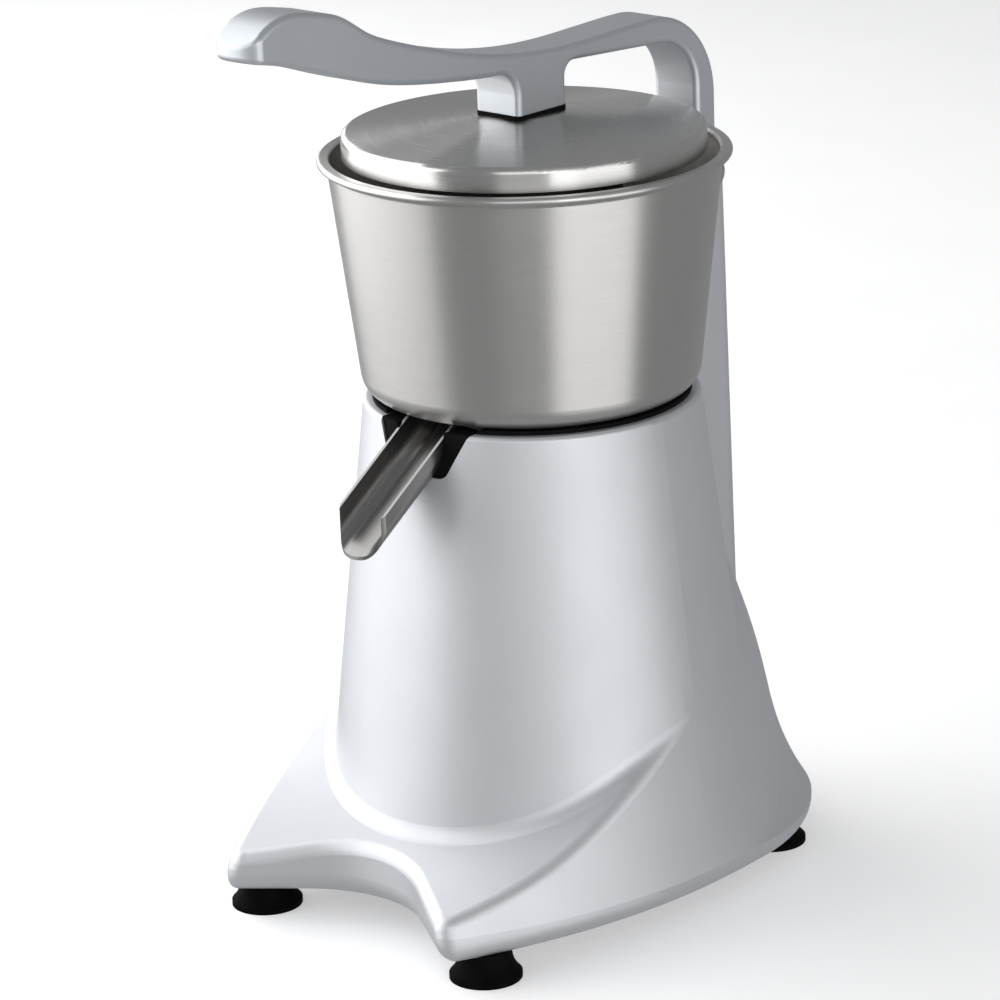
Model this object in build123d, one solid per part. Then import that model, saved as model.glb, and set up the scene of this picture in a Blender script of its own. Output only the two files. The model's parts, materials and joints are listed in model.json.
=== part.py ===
# Lever citrus juicer: a cast body with its motor, a bowl with a spout, and a lever that presses a lid.
# Lengths are in millimetres. The drive axis stands at x = 0, y = 0, the floor is z = 0,
# and the spout and the lever's paddle point to -y.
import os
from math import asin, atan, cos, degrees, radians, sin, sqrt, tan

from build123d import *

# Cast body: flared skirt
base_bottom = 15.0
cast_wall = 4.0
band_height = 12.0
band_height_shares = (0.0, 0.3, 1.0)
band_tuck = 9.0
band_tuck_shares = (1.0, 0.3, 0.0)
band_nose_shares = (1.206, 1.07, 1.0)
band_bay_shares = (1.13, 1.04, 1.0)
band_horn_shares = (0.4, 0.8, 1.0)
skirt_top = 165.0
skirt_height_shares = (0.0, 0.384, 0.71, 1.0)
skirt_half_width = 117.3
skirt_width_shares = (1.0, 0.892, 0.8, 0.665)
skirt_rear_reach = 144.0
skirt_reach_shares = (1.0, 0.896, 0.865, 0.882)
skirt_widest_shares = (-0.035, -0.035, -0.104, -0.556)
skirt_rear_radius = 116.0
skirt_radius_shares = (1.0, 0.716, 0.431, 0.172)
skirt_nose_radius = 272.0
skirt_nose_shares = (1.0, 0.92, 0.92, 0.92)
horn_round = 8.0
bay_radius = 63.0
bay_apex_y = -121.6
bay_half_angle = 33.75
bay_line_length = 120.0
apron_front_y = -200.0
apron_length = 260.0
apron_foot = 20.0
apron_rise = 170.0
apron_shares = ((0.0, 0.0), (0.231, 0.106), (0.385, 0.188), (0.577, 0.341), (0.692, 0.447), (1.0, 1.0))
apron_edge_round = 7.0
apron_wall = 4.6
turret_foot_round = 9.0

# Cast body: turret
turret_foot = 30.0
turret_top = 247.0
turret_top_radius = 82.5
turret_lean_share = 0.12
turret_edge_round = 2.5
deck_thickness = 5.0
neck_height = 19.0
neck_wall = 6.0
motor_post_radius = 7.0
motor_post_length = 42.0
motor_post_count = 4

# Cast body: rear column and fork
column_foot = 60.0
column_front = 70.0
column_depth = 59.0
column_taper = 3.0
column_corner = 9.0
column_bowl_gap = 2.6
ear_thickness = 9.0
ear_depth = 28.0
web_half = 17.0
web_depth = 25.0
web_drop = 4.0
pivot_rise = 89.0
fork_gap = 0.4
fork_floor_gap = 6.0
fork_floor_thickness = 19.0

# Notch for the spout in the turret's front
notch_depth = 22.0
notch_margin = 2.5
notch_flare = 11.0
notch_round = 6.0
notch_back_y = -66.0

# Rear recess with its panel
recess_half = 24.0
recess_low = 32.0
recess_depth = 7.0
recess_margin = 24.0
panel_thickness = 3.0
panel_ledge = 4.0
panel_gap = 0.2
panel_screw_inset = 4.0
panel_screw_radius = 2.6
panel_screw_height = 1.6

# Base plate, feet and their screws
plate_thickness = 2.5
plate_gap = 0.5
plate_slot_length = 34.0
plate_slot_width = 5.0
plate_slot_step = 12.0
plate_slot_count = 9
plate_slots_y = -20.0
foot_inset = 20.8
front_foot_setback = 5.0
rear_foot_angle = 39.1
foot_radius = 17.5
foot_neck_radius = 13.0
foot_waist_radius = 14.0
foot_lip = 2.5
foot_well_gap = 1.0
foot_well_depth = 9.0
foot_post_radius = 8.0
foot_post_length = 102.5
foot_screw_radius = 2.5
foot_screw_head_radius = 5.5
foot_screw_head = 4.0
foot_screw_reach = 10.0
screw_gap = 0.1

# Bowl
sheet = 1.5
bowl_lift = 2.0
bowl_setback = 0.7
bowl_height = 118.0
bowl_top_radius = 95.4
bowl_corner = 12.0
rim_thickness = 3.6
rim_roll = 4.6
rim_neck_round = 2.4
rim_inside_round = 1.2
sleeve_gap = 1.6
sleeve_height = 25.0
outlet_half = 11.0
outlet_margin = 7.3
outlet_lip = 2.6
seal_ring_inset = 4.5
seal_ring_width = 6.0
seal_gap = 0.3

# Spout
spout_half = 15.0
spout_depth = 14.5
spout_round = 9.0
spout_slope = 33.7
spout_edge_y = -77.1
spout_edge_drop = 0.5
spout_reach = 52.2
spout_end_crown = 7.8
spout_seal_inset = 1.2

# Strainer
strainer_rise = 35.0
strainer_depth = 28.0
strainer_band = 8.0
strainer_floor_inset = 8.8
strainer_sheet = 1.2
strainer_hole = 29.0
strainer_collar = 5.0
strainer_fit = 0.05
strainer_slot_margin = 9.0
strainer_slot_width = 2.6
strainer_slot_count = 24

# Reamer
reamer_rise = 8.0
reamer_radius = 34.0
reamer_height = 57.0
reamer_shares = ((1.0, 0.0), (0.912, 0.351), (0.588, 0.772), (0.0, 1.0))
reamer_rib_rise = 3.5
reamer_rib_width = 3.4
reamer_rib_pairs = 4
reamer_shell = 3.5
reamer_hub_wall = 5.0
reamer_hub_drop = 2.0
reamer_pocket = 38.0

# Motor and drive
shaft_radius = 7.0
shaft_tail = 4.0
shaft_fit = 0.03
seat_fit = 0.02
shaft_seal_thickness = 6.0
bearing_wall = 4.0
bearing_height = 9.0
upper_bearing_setback = 1.0
lower_bearing_wall = 8.0
drive_pin_radius = 2.0
drive_pin_inset = 1.0
drive_pin_rise = 5.0
drive_slot_gap = 0.15
stator_radius = 60.0
stator_bore = 33.5
stator_stack = 58.0
stator_flats = 52.0
rotor_air_gap = 0.6
rotor_overhang = 3.0
winding_gap = 2.0
winding_inset = 2.5
winding_height_share = 0.5
bell_inset = 4.0
bell_wall = 4.0
bell_height = 24.0
bell_shaft_gap = 2.0
motor_screw_inset = 10.0
motor_screw_radius = 2.5
motor_screw_head_radius = 4.5
motor_screw_head = 4.0
motor_screw_reach = 14.0
fan_radius = 44.0
fan_hub_wall = 6.0
fan_gap = 6.0
fan_height = 14.0
fan_disc = 2.0
fan_blade = 2.0
fan_blade_count = 7
capacitor_radius = 16.0
capacitor_height = 58.0
capacitor_x = -52.0
capacitor_y = 60.0
capacitor_cup_wall = 2.0
capacitor_cup_height = 12.0
terminal_length = 42.0
terminal_depth = 15.0
terminal_height = 13.0
terminal_setback = 38.0
terminal_well_radius = 2.2
terminal_well_depth = 5.0
terminal_step = 8.0
terminal_count = 5

# Switch and cord gland on the rear panel
gland_rise = 20.0
gland_bore = 4.0
gland_wall = 4.0
gland_flange_rim = 1.5
gland_flange = 4.0
gland_nut_rim = 0.5
gland_nut = 10.0
gland_nut_round = 3.0
gland_inside = 12.0
locknut_rim = 2.0
locknut_thickness = 4.0
switch_step = 36.0
switch_half_width = 10.0
switch_half_height = 13.0
switch_depth = 20.0
bezel_overlap = 2.5
bezel_thickness = 2.5
rocker_side_wall = 3.0
rocker_end_wall = 3.4
rocker_gap = 0.4
rocker_pivot_depth = 4.5
rocker_tilt = 8.0
rocker_rise = 5.6
rocker_valley = 2.8
rocker_pin_radius = 1.5
rocker_pin_length = 1.8

# Lever
lever_half = 14.0
lever_edge_round = 3.0
lever_reach = 192.0
lever_rise = 75.2
lever_top_shares = ((0.07, 0.37), (-0.188, 0.443), (-0.434, 0.609), (-0.536, 0.695), (-0.604, 0.769),
                    (-0.703, 0.918), (-0.776, 0.967), (-0.865, 1.0), (-0.941, 0.96))
lever_tip_shares = (-1.0, 0.844)
lever_under_shares = ((-0.865, 0.674), (-0.589, 0.443), (-0.38, 0.345))
lever_neck_shares = (-0.177, 0.29)
lever_tip_heading = (-1.0, -1.0)
lever_tip_thickness = 7.0
lever_tip_crown = 4.5
lever_tip_round = 5.0
leg_setback = 1.0
leg_thickness = 15.0
lever_back_rise = 29.2
lever_back_round = 44.0
lever_bar = 13.0
lever_window_rise = 4.0
lever_window_round = 26.0
lever_window_front_round = 7.0
boss_rear = 16.5
boss_front = -18.5
boss_front_round = 12.0

# Lid, its gasket, the press cup and their screw
lid_gap = 5.9
lid_shoulder_rise = 11.5
lid_shoulder_round = 3.0
lid_height = 19.0
lid_crown_radius = 20.0
gasket_thickness = 2.0
gasket_corner = 4.0
gasket_margin = 0.5
cup_height = 42.5
cup_top_radius = 16.0
cup_mouth_radius = 47.0
cup_shoulder_inset = 7.0
cup_shoulder_drop = 13.5
cup_wall = 3.0
lid_screw_radius = 4.0
lid_screw_head_radius = 8.0
lid_screw_head = 4.5
lid_screw_head_round = 1.5
lid_screw_reach = 12.0

# Lever pivot
pin_radius = 5.0
eye_wall = 6.0
bush_wall = 2.0
clip_wall = 2.5
clip_thickness = 2.0
clip_gap = 0.6

# Heights that follow from those above
band_top = base_bottom + band_height
plate_top = base_bottom + plate_thickness
deck_bottom = turret_top - deck_thickness
neck_top = turret_top + neck_height
notch_floor = turret_top - notch_depth
web_top = turret_top - web_drop
pivot_z = turret_top + pivot_rise
bowl_floor = turret_top + bowl_lift
rim_top = bowl_floor + bowl_height
rim_foot_z = rim_top - rim_thickness
rim_widest_z = (rim_foot_z + rim_top) / 2
sleeve_top = bowl_floor + sleeve_height
spout_edge_z = turret_top - spout_edge_drop
strainer_floor = bowl_floor + strainer_rise
strainer_top = strainer_floor + strainer_depth
reamer_foot = strainer_floor + reamer_rise
reamer_hub_foot = reamer_foot - reamer_hub_drop
reamer_pocket_top = reamer_foot + reamer_pocket
drive_pin_z = reamer_foot + drive_pin_rise
bell_top = deck_bottom - motor_post_length
stator_top = bell_top - bell_height
stator_foot = stator_top - stator_stack
bell_bottom = stator_foot - bell_height
upper_bearing_foot = deck_bottom + upper_bearing_setback
fan_foot = bell_bottom - fan_gap - fan_height
shaft_foot = fan_foot - shaft_tail
shaft_top = reamer_pocket_top - seat_fit
gland_z = recess_low + gland_rise
switch_z = gland_z + switch_step
recess_high = switch_z + recess_margin
lid_bottom = rim_top
lid_shoulder_z = lid_bottom + lid_shoulder_rise
lid_crown = lid_bottom + lid_height
cup_top = lid_crown - sheet
cup_mouth_z = cup_top - cup_height
boss_bottom = lid_crown + gasket_thickness
lever_back_top = boss_bottom + lever_back_rise
lever_window_top = lever_back_top - lever_bar

# Radii, widths and distances that follow from those above
neck_bore = shaft_radius + bearing_wall
neck_radius = neck_bore + neck_wall
sleeve_radius = neck_radius + sleeve_gap
bowl_foot_radius = turret_top_radius - bowl_setback
bowl_lean_share = (bowl_top_radius - bowl_foot_radius) / (rim_foot_z - bowl_floor)
rim_radius = bowl_top_radius + rim_roll
lid_radius = bowl_top_radius - sheet - lid_gap
seal_ring_outer = turret_top_radius - seal_ring_inset
strainer_floor_radius = bowl_foot_radius - strainer_floor_inset
reamer_hub_radius = shaft_radius + reamer_hub_wall
lower_bearing_radius = shaft_radius + lower_bearing_wall
bell_radius = stator_radius - bell_inset
motor_post_ring = bell_radius - motor_screw_inset
rotor_radius = stator_bore - rotor_air_gap
winding_radius = bell_radius - bell_wall - winding_gap
winding_height = bell_height * winding_height_share
fan_hub_radius = shaft_radius + fan_hub_wall
column_rear = column_front + column_depth
column_top_front = bowl_top_radius + column_bowl_gap
column_top_half = lever_half + ear_thickness
column_foot_half = column_top_half + column_taper
ear_radius = ear_depth / 2
pivot_y = column_top_front + ear_radius
leg_front = pivot_y + leg_setback
leg_rear = leg_front + leg_thickness
leg_foot = pivot_z + ear_radius
eye_radius = pin_radius + eye_wall
bush_radius = pin_radius + bush_wall
fork_floor = pivot_z - eye_radius - fork_floor_gap
column_cavity_top = fork_floor - fork_floor_thickness
recess_floor_y = column_rear - recess_depth
panel_face_y = recess_floor_y + panel_thickness
terminal_y = recess_floor_y - terminal_setback
rocker_half = switch_half_width - rocker_side_wall
rocker_radius = switch_half_height - rocker_end_wall
gland_thread_radius = gland_bore + gland_wall
foot_well_radius = foot_screw_head_radius + foot_well_gap
foot_nose_radius = skirt_nose_radius * band_nose_shares[0]
front_foot_y = bay_apex_y - front_foot_setback
front_foot_run = skirt_rear_reach * skirt_widest_shares[0] - front_foot_y
front_foot_edge = skirt_half_width - foot_nose_radius + sqrt(foot_nose_radius**2 - front_foot_run**2)
front_foot_x = front_foot_edge - foot_inset
rear_foot_ring = skirt_rear_radius - foot_inset
rear_foot_x = rear_foot_ring * cos(radians(rear_foot_angle))
rear_foot_y = skirt_rear_reach - skirt_rear_radius + rear_foot_ring * sin(radians(rear_foot_angle))
foot_places = (("front_left", -front_foot_x, front_foot_y), ("front_right", front_foot_x, front_foot_y),
               ("rear_left", -rear_foot_x, rear_foot_y), ("rear_right", rear_foot_x, rear_foot_y))
spout_fall = tan(radians(spout_slope))
spout_back = (bowl_floor - spout_edge_z) / sin(radians(spout_slope)) + 2 * spout_depth
spout_thick_z = spout_depth / cos(radians(spout_slope))
spout_run = (spout_reach + spout_depth) / cos(radians(spout_slope))
outlet_front_y = spout_edge_y + (bowl_floor - spout_edge_z) / spout_fall + outlet_margin
outlet_back_y = spout_edge_y + (bowl_floor - spout_edge_z + spout_thick_z) / spout_fall - outlet_lip
mid_y = (skirt_rear_reach - lever_reach) / 2


def rod(radius, low, high):
    return Pos(0, 0, low) * Cylinder(radius, high - low, align=(Align.CENTER, Align.CENTER, Align.MIN))


def tube(outer, inner, low, high):
    return rod(outer, low, high) - rod(inner, low, high)


def turned(edges):
    """The solid turned about the drive axis from edges drawn as (radius, height)."""
    return revolve(Plane.XZ * make_face(edges), Axis.Z)


def cross_rod(radius, half, y, z):
    """A rod along x, centred on x = 0."""
    return Pos(0, y, z) * Rot(0, 90, 0) * Cylinder(radius, 2 * half)


def slab(half, front, rear, low, high):
    """A box between two y and two z values, as wide on both sides of x = 0."""
    return Pos(0, (front + rear) / 2, (low + high) / 2) * Box(2 * half, rear - front, high - low)


def turret_radius(z):
    return turret_top_radius + turret_lean_share * (turret_top - z)


def rounded_at(face, corner, radius):
    """The face with its corner nearest to a point rounded."""
    return fillet(face.vertices().sort_by_distance(corner)[0], radius)


def bowl_radius(z):
    """Outer radius of the bowl's leaning wall."""
    return bowl_foot_radius + bowl_lean_share * (z - bowl_floor)


def bay_face(angle_share, inset):
    """What the concave front takes away: an arc with a tangent line to each side."""
    radius = bay_radius + inset
    centre_y = bay_apex_y - bay_radius
    turn = radians(bay_half_angle * angle_share)
    end = (radius * sin(turn), centre_y + radius * cos(turn))
    far = (end[0] + bay_line_length * cos(turn), end[1] - bay_line_length * sin(turn))
    front_y = far[1] - bay_line_length
    edges = [
        ThreePointArc((-end[0], end[1]), (0, centre_y + radius), end),
        Polyline(end, far, (far[0], front_y), (-far[0], front_y), (-far[0], far[1]), (-end[0], end[1])),
    ]
    return make_face(edges)


def skirt_outline(level, nose_share, inset, bay_share=1):
    """One level of the skirt from above: round rear, two tangent arcs along each side, concave front."""
    rear_radius = skirt_rear_radius * skirt_radius_shares[level]
    centre_y = skirt_rear_reach * skirt_reach_shares[level] - rear_radius
    side = skirt_half_width * skirt_width_shares[level]
    widest_y = skirt_rear_reach * skirt_widest_shares[level]
    reach = centre_y - widest_y
    turn = 2 * degrees(atan((side - rear_radius) / reach))
    flank_radius = rear_radius + reach / sin(radians(turn))
    flank_x = side - flank_radius
    nose_x = side - skirt_nose_radius * nose_share
    nose_radius = skirt_nose_radius * nose_share - inset
    front_y = bay_apex_y - bay_radius
    nose_turn = degrees(asin((widest_y - front_y) / nose_radius))
    nose_half = nose_x + nose_radius * cos(radians(nose_turn))
    edges = [
        CenterArc((0, centre_y), rear_radius - inset, turn, 180 - 2 * turn),
        CenterArc((-flank_x, widest_y), flank_radius - inset, 180 - turn, turn),
        CenterArc((-nose_x, widest_y), nose_radius, 180, nose_turn),
        Line((-nose_half, front_y), (nose_half, front_y)),
        CenterArc((nose_x, widest_y), nose_radius, -nose_turn, nose_turn),
        CenterArc((flank_x, widest_y), flank_radius - inset, 0, turn),
    ]
    return make_face(edges) - bay_face(bay_share, inset)


def horned_outline(level, nose_share, inset, tip_round, bay_share=1):
    outline = skirt_outline(level, nose_share, inset, bay_share)
    tips = outline.vertices().sort_by(Axis.Y)[:2]
    return fillet(tips, tip_round)


def skirt_z(level):
    return band_top + (skirt_top - band_top) * skirt_height_shares[level]


def foot_band():
    """The low band around the foot, tucked in towards the floor, less so at the horns."""
    levels = []
    shares = zip(band_height_shares, band_nose_shares, band_tuck_shares, band_horn_shares, band_bay_shares)
    for height_share, nose_share, tuck_share, horn_share, bay_share in shares:
        outline = horned_outline(0, nose_share, band_tuck * tuck_share, horn_round * horn_share, bay_share)
        levels.append(Pos(0, 0, base_bottom + band_height * height_share) * outline)
    return loft(levels)


def apron_prism(drop):
    """What lies above the apron: a curve seen from the side, wider than the base."""
    points = [(apron_front_y + y * apron_length, apron_foot + z * apron_rise - drop)
              for y, z in apron_shares]
    front, rear = points[0], points[-1]
    edges = [Spline(points), Polyline(rear, (rear[0], turret_top), (front[0], turret_top), front)]
    return Pos(-2 * rim_radius, 0, 0) * extrude(Plane.YZ * make_face(edges), 4 * rim_radius)


def outer_skirt():
    """The flared base with its scooped apron and its rounded ridges."""
    levels = [Pos(0, 0, skirt_z(level)) * horned_outline(level, nose_share, 0, horn_round)
              for level, nose_share in enumerate(skirt_nose_shares)]
    flare = loft(levels) - apron_prism(0)
    sloping = flare.faces().filter_by(GeomType.PLANE, reverse=True)
    apron = sloping.sort_by(lambda face: face.normal_at().Z)[-1]
    ridges = apron.edges() - flare.faces().sort_by(Axis.Z)[-1].edges()
    return foot_band() + fillet(ridges, apron_edge_round)


def column(inset, top):
    """The rear column, leaning back with the bowl's wall in front of it."""
    foot = Pos(0, (column_front + column_rear) / 2, column_foot) * RectangleRounded(
        2 * (column_foot_half - inset), column_depth - 2 * inset, column_corner - inset)
    head = Pos(0, pivot_y, pivot_z + ear_radius) * RectangleRounded(
        2 * (column_top_half - inset), 2 * (ear_radius - inset), column_corner - inset)
    return loft([foot, head]) & slab(rim_radius, 0, 2 * rim_radius, column_foot, top)


def forked_column():
    """The column with its round ears, the slot between them and the web that ties it to the turret."""
    straight = slab(rim_radius, 0, 2 * rim_radius, 0, pivot_z)
    outline = straight + cross_rod(ear_radius, rim_radius, pivot_y, pivot_z)
    web = slab(web_half, column_front, column_front + web_depth, column_foot, web_top)
    slot = slab(lever_half + fork_gap, 0, 2 * rim_radius, fork_floor, pivot_z + 2 * ear_radius)
    bores = cross_rod(bush_radius + seat_fit, rim_radius, pivot_y, pivot_z)
    return (column(0, pivot_z + ear_radius) & outline) + web - slot - bores


def turret(inset, low, high):
    return Pos(0, 0, low) * Cone(turret_radius(low) - inset, turret_radius(high) - inset, high - low,
                                 align=(Align.CENTER, Align.CENTER, Align.MIN))


def body_outside():
    shape = outer_skirt() + turret(0, turret_foot, turret_top)
    cone = shape.faces().filter_by(GeomType.CONE)[0]
    below = turret_top - turret_edge_round
    foot_line = [edge for edge in cone.edges() if edge.bounding_box().max.Z < below]
    shape = fillet(foot_line, turret_foot_round)
    brim = shape.faces().sort_by(Axis.Z)[-1].edges()
    return fillet(brim, turret_edge_round) + forked_column()


def recess(grow):
    """The rear recess, and with grow the cast wall around it."""
    return slab(recess_half + grow, recess_floor_y - grow, 2 * rim_radius,
                recess_low - grow, recess_high + grow)


def foot_outline(inset):
    """The outline at the very bottom of the casting, set in by a wall."""
    return skirt_outline(0, band_nose_shares[0], band_tuck + inset)


def body_cavity():
    """The hollow inside the casting, open below, with the recess's walls left standing."""
    band = extrude(Pos(0, 0, base_bottom) * foot_outline(cast_wall), band_height)
    levels = [Pos(0, 0, skirt_z(level)) * skirt_outline(level, nose_share, cast_wall)
              for level, nose_share in enumerate(skirt_nose_shares)]
    flare = loft(levels) - apron_prism(apron_wall)
    hollow = band + flare + turret(cast_wall, band_top, deck_bottom) + column(cast_wall, column_cavity_top)
    return hollow - recess(cast_wall)


def spout_plane():
    """Origin on the trough's top edge, z down the trough, y out of it."""
    slope = radians(spout_slope)
    return Plane((0, spout_edge_y, spout_edge_z), x_dir=(1, 0, 0), z_dir=(0, -cos(slope), -sin(slope)))


def trough(grow, rise):
    """The trough's outline as a full bar, grown by a gap and raised above its edges."""
    half = spout_half + grow
    low = -spout_depth - grow
    outline = make_face(Polyline((-half, rise), (-half, low), (half, low), (half, rise), close=True))
    outline = fillet(outline.vertices().sort_by(Axis.Y)[:2], spout_round + grow)
    bar = extrude(spout_plane() * outline, spout_back + spout_run)
    back = spout_plane().z_dir * -spout_back
    return Pos(back.X, back.Y, back.Z) * bar


def notch(grow):
    """The opening in the turret's front that the spout comes out of."""
    low_half = spout_half + notch_margin + grow
    top_half = low_half + 2 * notch_flare
    top = turret_top + notch_depth
    low = notch_floor - grow
    outline = make_face(Polyline(
        (-top_half, top), (-low_half, low), (low_half, low), (top_half, top), close=True))
    outline = fillet(outline.vertices().sort_by(Axis.Y)[:2], notch_round)
    return Pos(0, notch_back_y, 0) * extrude(Plane.XZ * outline, rim_radius)


def motor_places():
    return PolarLocations(motor_post_ring, motor_post_count, start_angle=180 / motor_post_count)


def foot_place(place):
    return Pos(place[1], place[2], 0)


def housing():
    outside = body_outside()
    shape = outside - body_cavity()
    for place in foot_places:
        post = rod(foot_post_radius, plate_top, plate_top + foot_post_length)
        shape += foot_place(place) * post & outside
    shape += motor_places() * rod(motor_post_radius, bell_top, deck_bottom)
    shape += rod(neck_radius, deck_bottom, neck_top)
    shape -= rod(neck_bore, bell_top, neck_top)
    shape -= recess(0)
    shape -= slab(recess_half - panel_ledge, recess_floor_y - 2 * cast_wall, recess_floor_y,
                  recess_low + panel_ledge, recess_high - panel_ledge)
    shape -= notch(0)
    shape -= trough(seal_gap, spout_depth)
    for place in foot_places:
        hole = rod(foot_screw_radius + screw_gap, base_bottom, plate_top + foot_screw_reach)
        shape -= foot_place(place) * hole
    shape -= motor_places() * rod(motor_screw_radius + screw_gap, bell_top, bell_top + motor_screw_reach)
    return shape


def base_plate():
    outline = foot_outline(cast_wall + plate_gap)
    slot = Pos(0, plate_slots_y) * SlotOverall(plate_slot_length, plate_slot_width, rotation=90)
    outline -= GridLocations(plate_slot_step, 0, plate_slot_count, 1) * slot
    plate = Pos(0, 0, base_bottom) * extrude(outline, plate_thickness)
    for place in foot_places:
        plate -= foot_place(place) * rod(foot_screw_radius + screw_gap, 0, plate_top)
    return plate


def foot():
    """A flared rubber foot with a well for its screw."""
    edges = [
        Polyline((foot_neck_radius, base_bottom), (0, base_bottom), (0, 0),
                 (foot_radius, 0), (foot_radius, foot_lip)),
        ThreePointArc((foot_radius, foot_lip), (foot_waist_radius, base_bottom / 2),
                      (foot_neck_radius, base_bottom)),
    ]
    return turned(edges) - rod(foot_well_radius, 0, foot_well_depth) - rod(
        foot_screw_radius + screw_gap, 0, base_bottom)


def foot_screw():
    head = rod(foot_screw_head_radius, foot_well_depth - foot_screw_head, foot_well_depth)
    return head + rod(foot_screw_radius, foot_well_depth, plate_top + foot_screw_reach - screw_gap)


def bowl():
    """A tapered pan turned from sheet, with a rolled lip, a centre sleeve and an outlet in its floor."""
    lip_radius = rim_radius - rim_thickness / 2
    outer = make_face([
        Polyline((lip_radius, rim_top), (0, rim_top), (0, bowl_floor), (bowl_foot_radius, bowl_floor),
                 (bowl_top_radius, rim_foot_z), (lip_radius, rim_foot_z)),
        ThreePointArc((lip_radius, rim_foot_z), (rim_radius, rim_widest_z), (lip_radius, rim_top)),
    ])
    outer = rounded_at(outer, (bowl_foot_radius, bowl_floor), bowl_corner)
    outer = rounded_at(outer, (bowl_top_radius, rim_foot_z), rim_neck_round)
    inside_foot = bowl_radius(bowl_floor + sheet) - sheet
    inside_top = bowl_radius(rim_foot_z) - sheet
    inner = make_face(Polyline(
        (0, rim_top), (0, bowl_floor + sheet), (inside_foot, bowl_floor + sheet),
        (inside_top, rim_foot_z), (inside_top, rim_top), close=True))
    inner = rounded_at(inner, (inside_foot, bowl_floor + sheet), bowl_corner - sheet)
    wall = rounded_at(outer - inner, (inside_top, rim_top), rim_inside_round)
    pan = revolve(Plane.XZ * wall, Axis.Z)
    pan += rod(sleeve_radius + sheet, bowl_floor, sleeve_top)
    pan -= rod(sleeve_radius, bowl_floor, sleeve_top)
    return pan - slab(outlet_half, outlet_front_y, outlet_back_y, bowl_floor, bowl_floor + sheet)


def bowl_seal():
    ring = tube(seal_ring_outer, seal_ring_outer - seal_ring_width, turret_top, bowl_floor)
    return ring - notch(seal_gap)


def spout():
    """An open trough that ends in a curve seen from above, butting against the bowl's floor."""
    shell = trough(0, 0) - trough(-sheet, spout_depth)
    tip_y = spout_edge_y - spout_reach
    side_y = tip_y + spout_end_crown
    plan = make_face([
        ThreePointArc((-spout_half, side_y), (0, tip_y), (spout_half, side_y)),
        Polyline((spout_half, side_y), (spout_half, 0), (-spout_half, 0), (-spout_half, side_y)),
    ])
    return shell & extrude(plan, bowl_floor - seat_fit)


def spout_seal():
    """The rubber plug that fills the notch around the spout."""
    plug = notch(-seat_fit) & turret(spout_seal_inset, notch_floor, turret_top - seat_fit)
    plug = plug & slab(rim_radius, -2 * rim_radius, notch_back_y - seat_fit, notch_floor, turret_top)
    return plug - trough(seat_fit, spout_depth * 2)


def strainer():
    """A slotted dish that hangs in the bowl by its tapered band."""
    gap = sheet + strainer_fit
    top = bowl_radius(strainer_top) - gap
    low_z = strainer_top - strainer_band
    low = bowl_radius(low_z) - gap
    inner_z = strainer_floor + strainer_sheet
    collar = strainer_hole + strainer_sheet
    collar_top = strainer_floor + strainer_collar
    dish = turned(Polyline(
        (top, strainer_top), (low, low_z), (strainer_floor_radius, strainer_floor),
        (strainer_hole, strainer_floor),
        (strainer_hole, collar_top), (collar, collar_top), (collar, inner_z),
        (strainer_floor_radius - strainer_sheet, inner_z), (low - strainer_sheet, low_z + strainer_sheet),
        (top - strainer_sheet, strainer_top), close=True))
    slot_length = strainer_floor_radius - strainer_hole - 2 * strainer_slot_margin
    slot_ring = (strainer_floor_radius + strainer_hole) / 2
    slot = extrude(SlotOverall(slot_length, strainer_slot_width), strainer_sheet)
    slot = Pos(0, 0, strainer_floor) * slot
    return dish - PolarLocations(slot_ring, strainer_slot_count) * slot


def reamer():
    """A hollow ogive with ribs that run to its tip, on a hub that fits over the shaft."""
    curve = [(r * reamer_radius, reamer_foot + z * reamer_height) for r, z in reamer_shares]
    tip = curve[-1]
    core = turned([Spline(curve), Polyline(tip, (0, reamer_foot), (reamer_radius, reamer_foot))])
    rib_curve = [(r + reamer_rib_rise, z) for r, z in curve[:-1]] + [(0, tip[1] + reamer_rib_rise)]
    other_side = [(-r, z) for r, z in reversed(rib_curve[:-1])]
    rib_face = make_face([Spline(rib_curve + other_side), Line(other_side[-1], rib_curve[0])])
    rib = Pos(0, reamer_rib_width / 2, 0) * extrude(Plane.XZ * rib_face, reamer_rib_width)
    for turn in range(reamer_rib_pairs):
        core += Rot(0, 0, 180 * turn / reamer_rib_pairs) * rib
    inner_curve = [(r - reamer_shell, z) for r, z in curve[:-1]]
    inner_top = inner_curve[-1]
    core -= turned([
        Spline(inner_curve),
        Polyline(inner_top, (0, inner_top[1]), (0, reamer_foot), inner_curve[0]),
    ])
    core += rod(reamer_hub_radius, reamer_hub_foot, inner_top[1])
    core -= rod(shaft_radius + seat_fit, reamer_hub_foot, reamer_pocket_top)
    slot_half = drive_pin_radius + drive_slot_gap
    slot_top = drive_pin_z + slot_half
    return core - Pos(0, 0, (reamer_hub_foot + slot_top) / 2) * Box(
        2 * reamer_hub_radius, 2 * slot_half, slot_top - reamer_hub_foot)


def drive_shaft():
    shaft = rod(shaft_radius, shaft_foot, shaft_top)
    return shaft - cross_rod(drive_pin_radius + seat_fit, shaft_radius, 0, drive_pin_z)


def shaft_seal():
    return tube(neck_bore - seat_fit, shaft_radius + shaft_fit, neck_top - shaft_seal_thickness, neck_top)


def upper_bearing():
    return tube(neck_bore - seat_fit, shaft_radius + shaft_fit,
                upper_bearing_foot, upper_bearing_foot + bearing_height)


def lower_bearing():
    return tube(lower_bearing_radius, shaft_radius + shaft_fit, bell_bottom, bell_bottom + bearing_height)


def stator():
    stack = rod(stator_radius, stator_foot, stator_top)
    squared = Pos(0, 0, (stator_foot + stator_top) / 2) * Box(
        2 * stator_flats, 2 * stator_flats, stator_top - stator_foot)
    return (stack & squared) - rod(stator_bore, stator_foot, stator_top)


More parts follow.
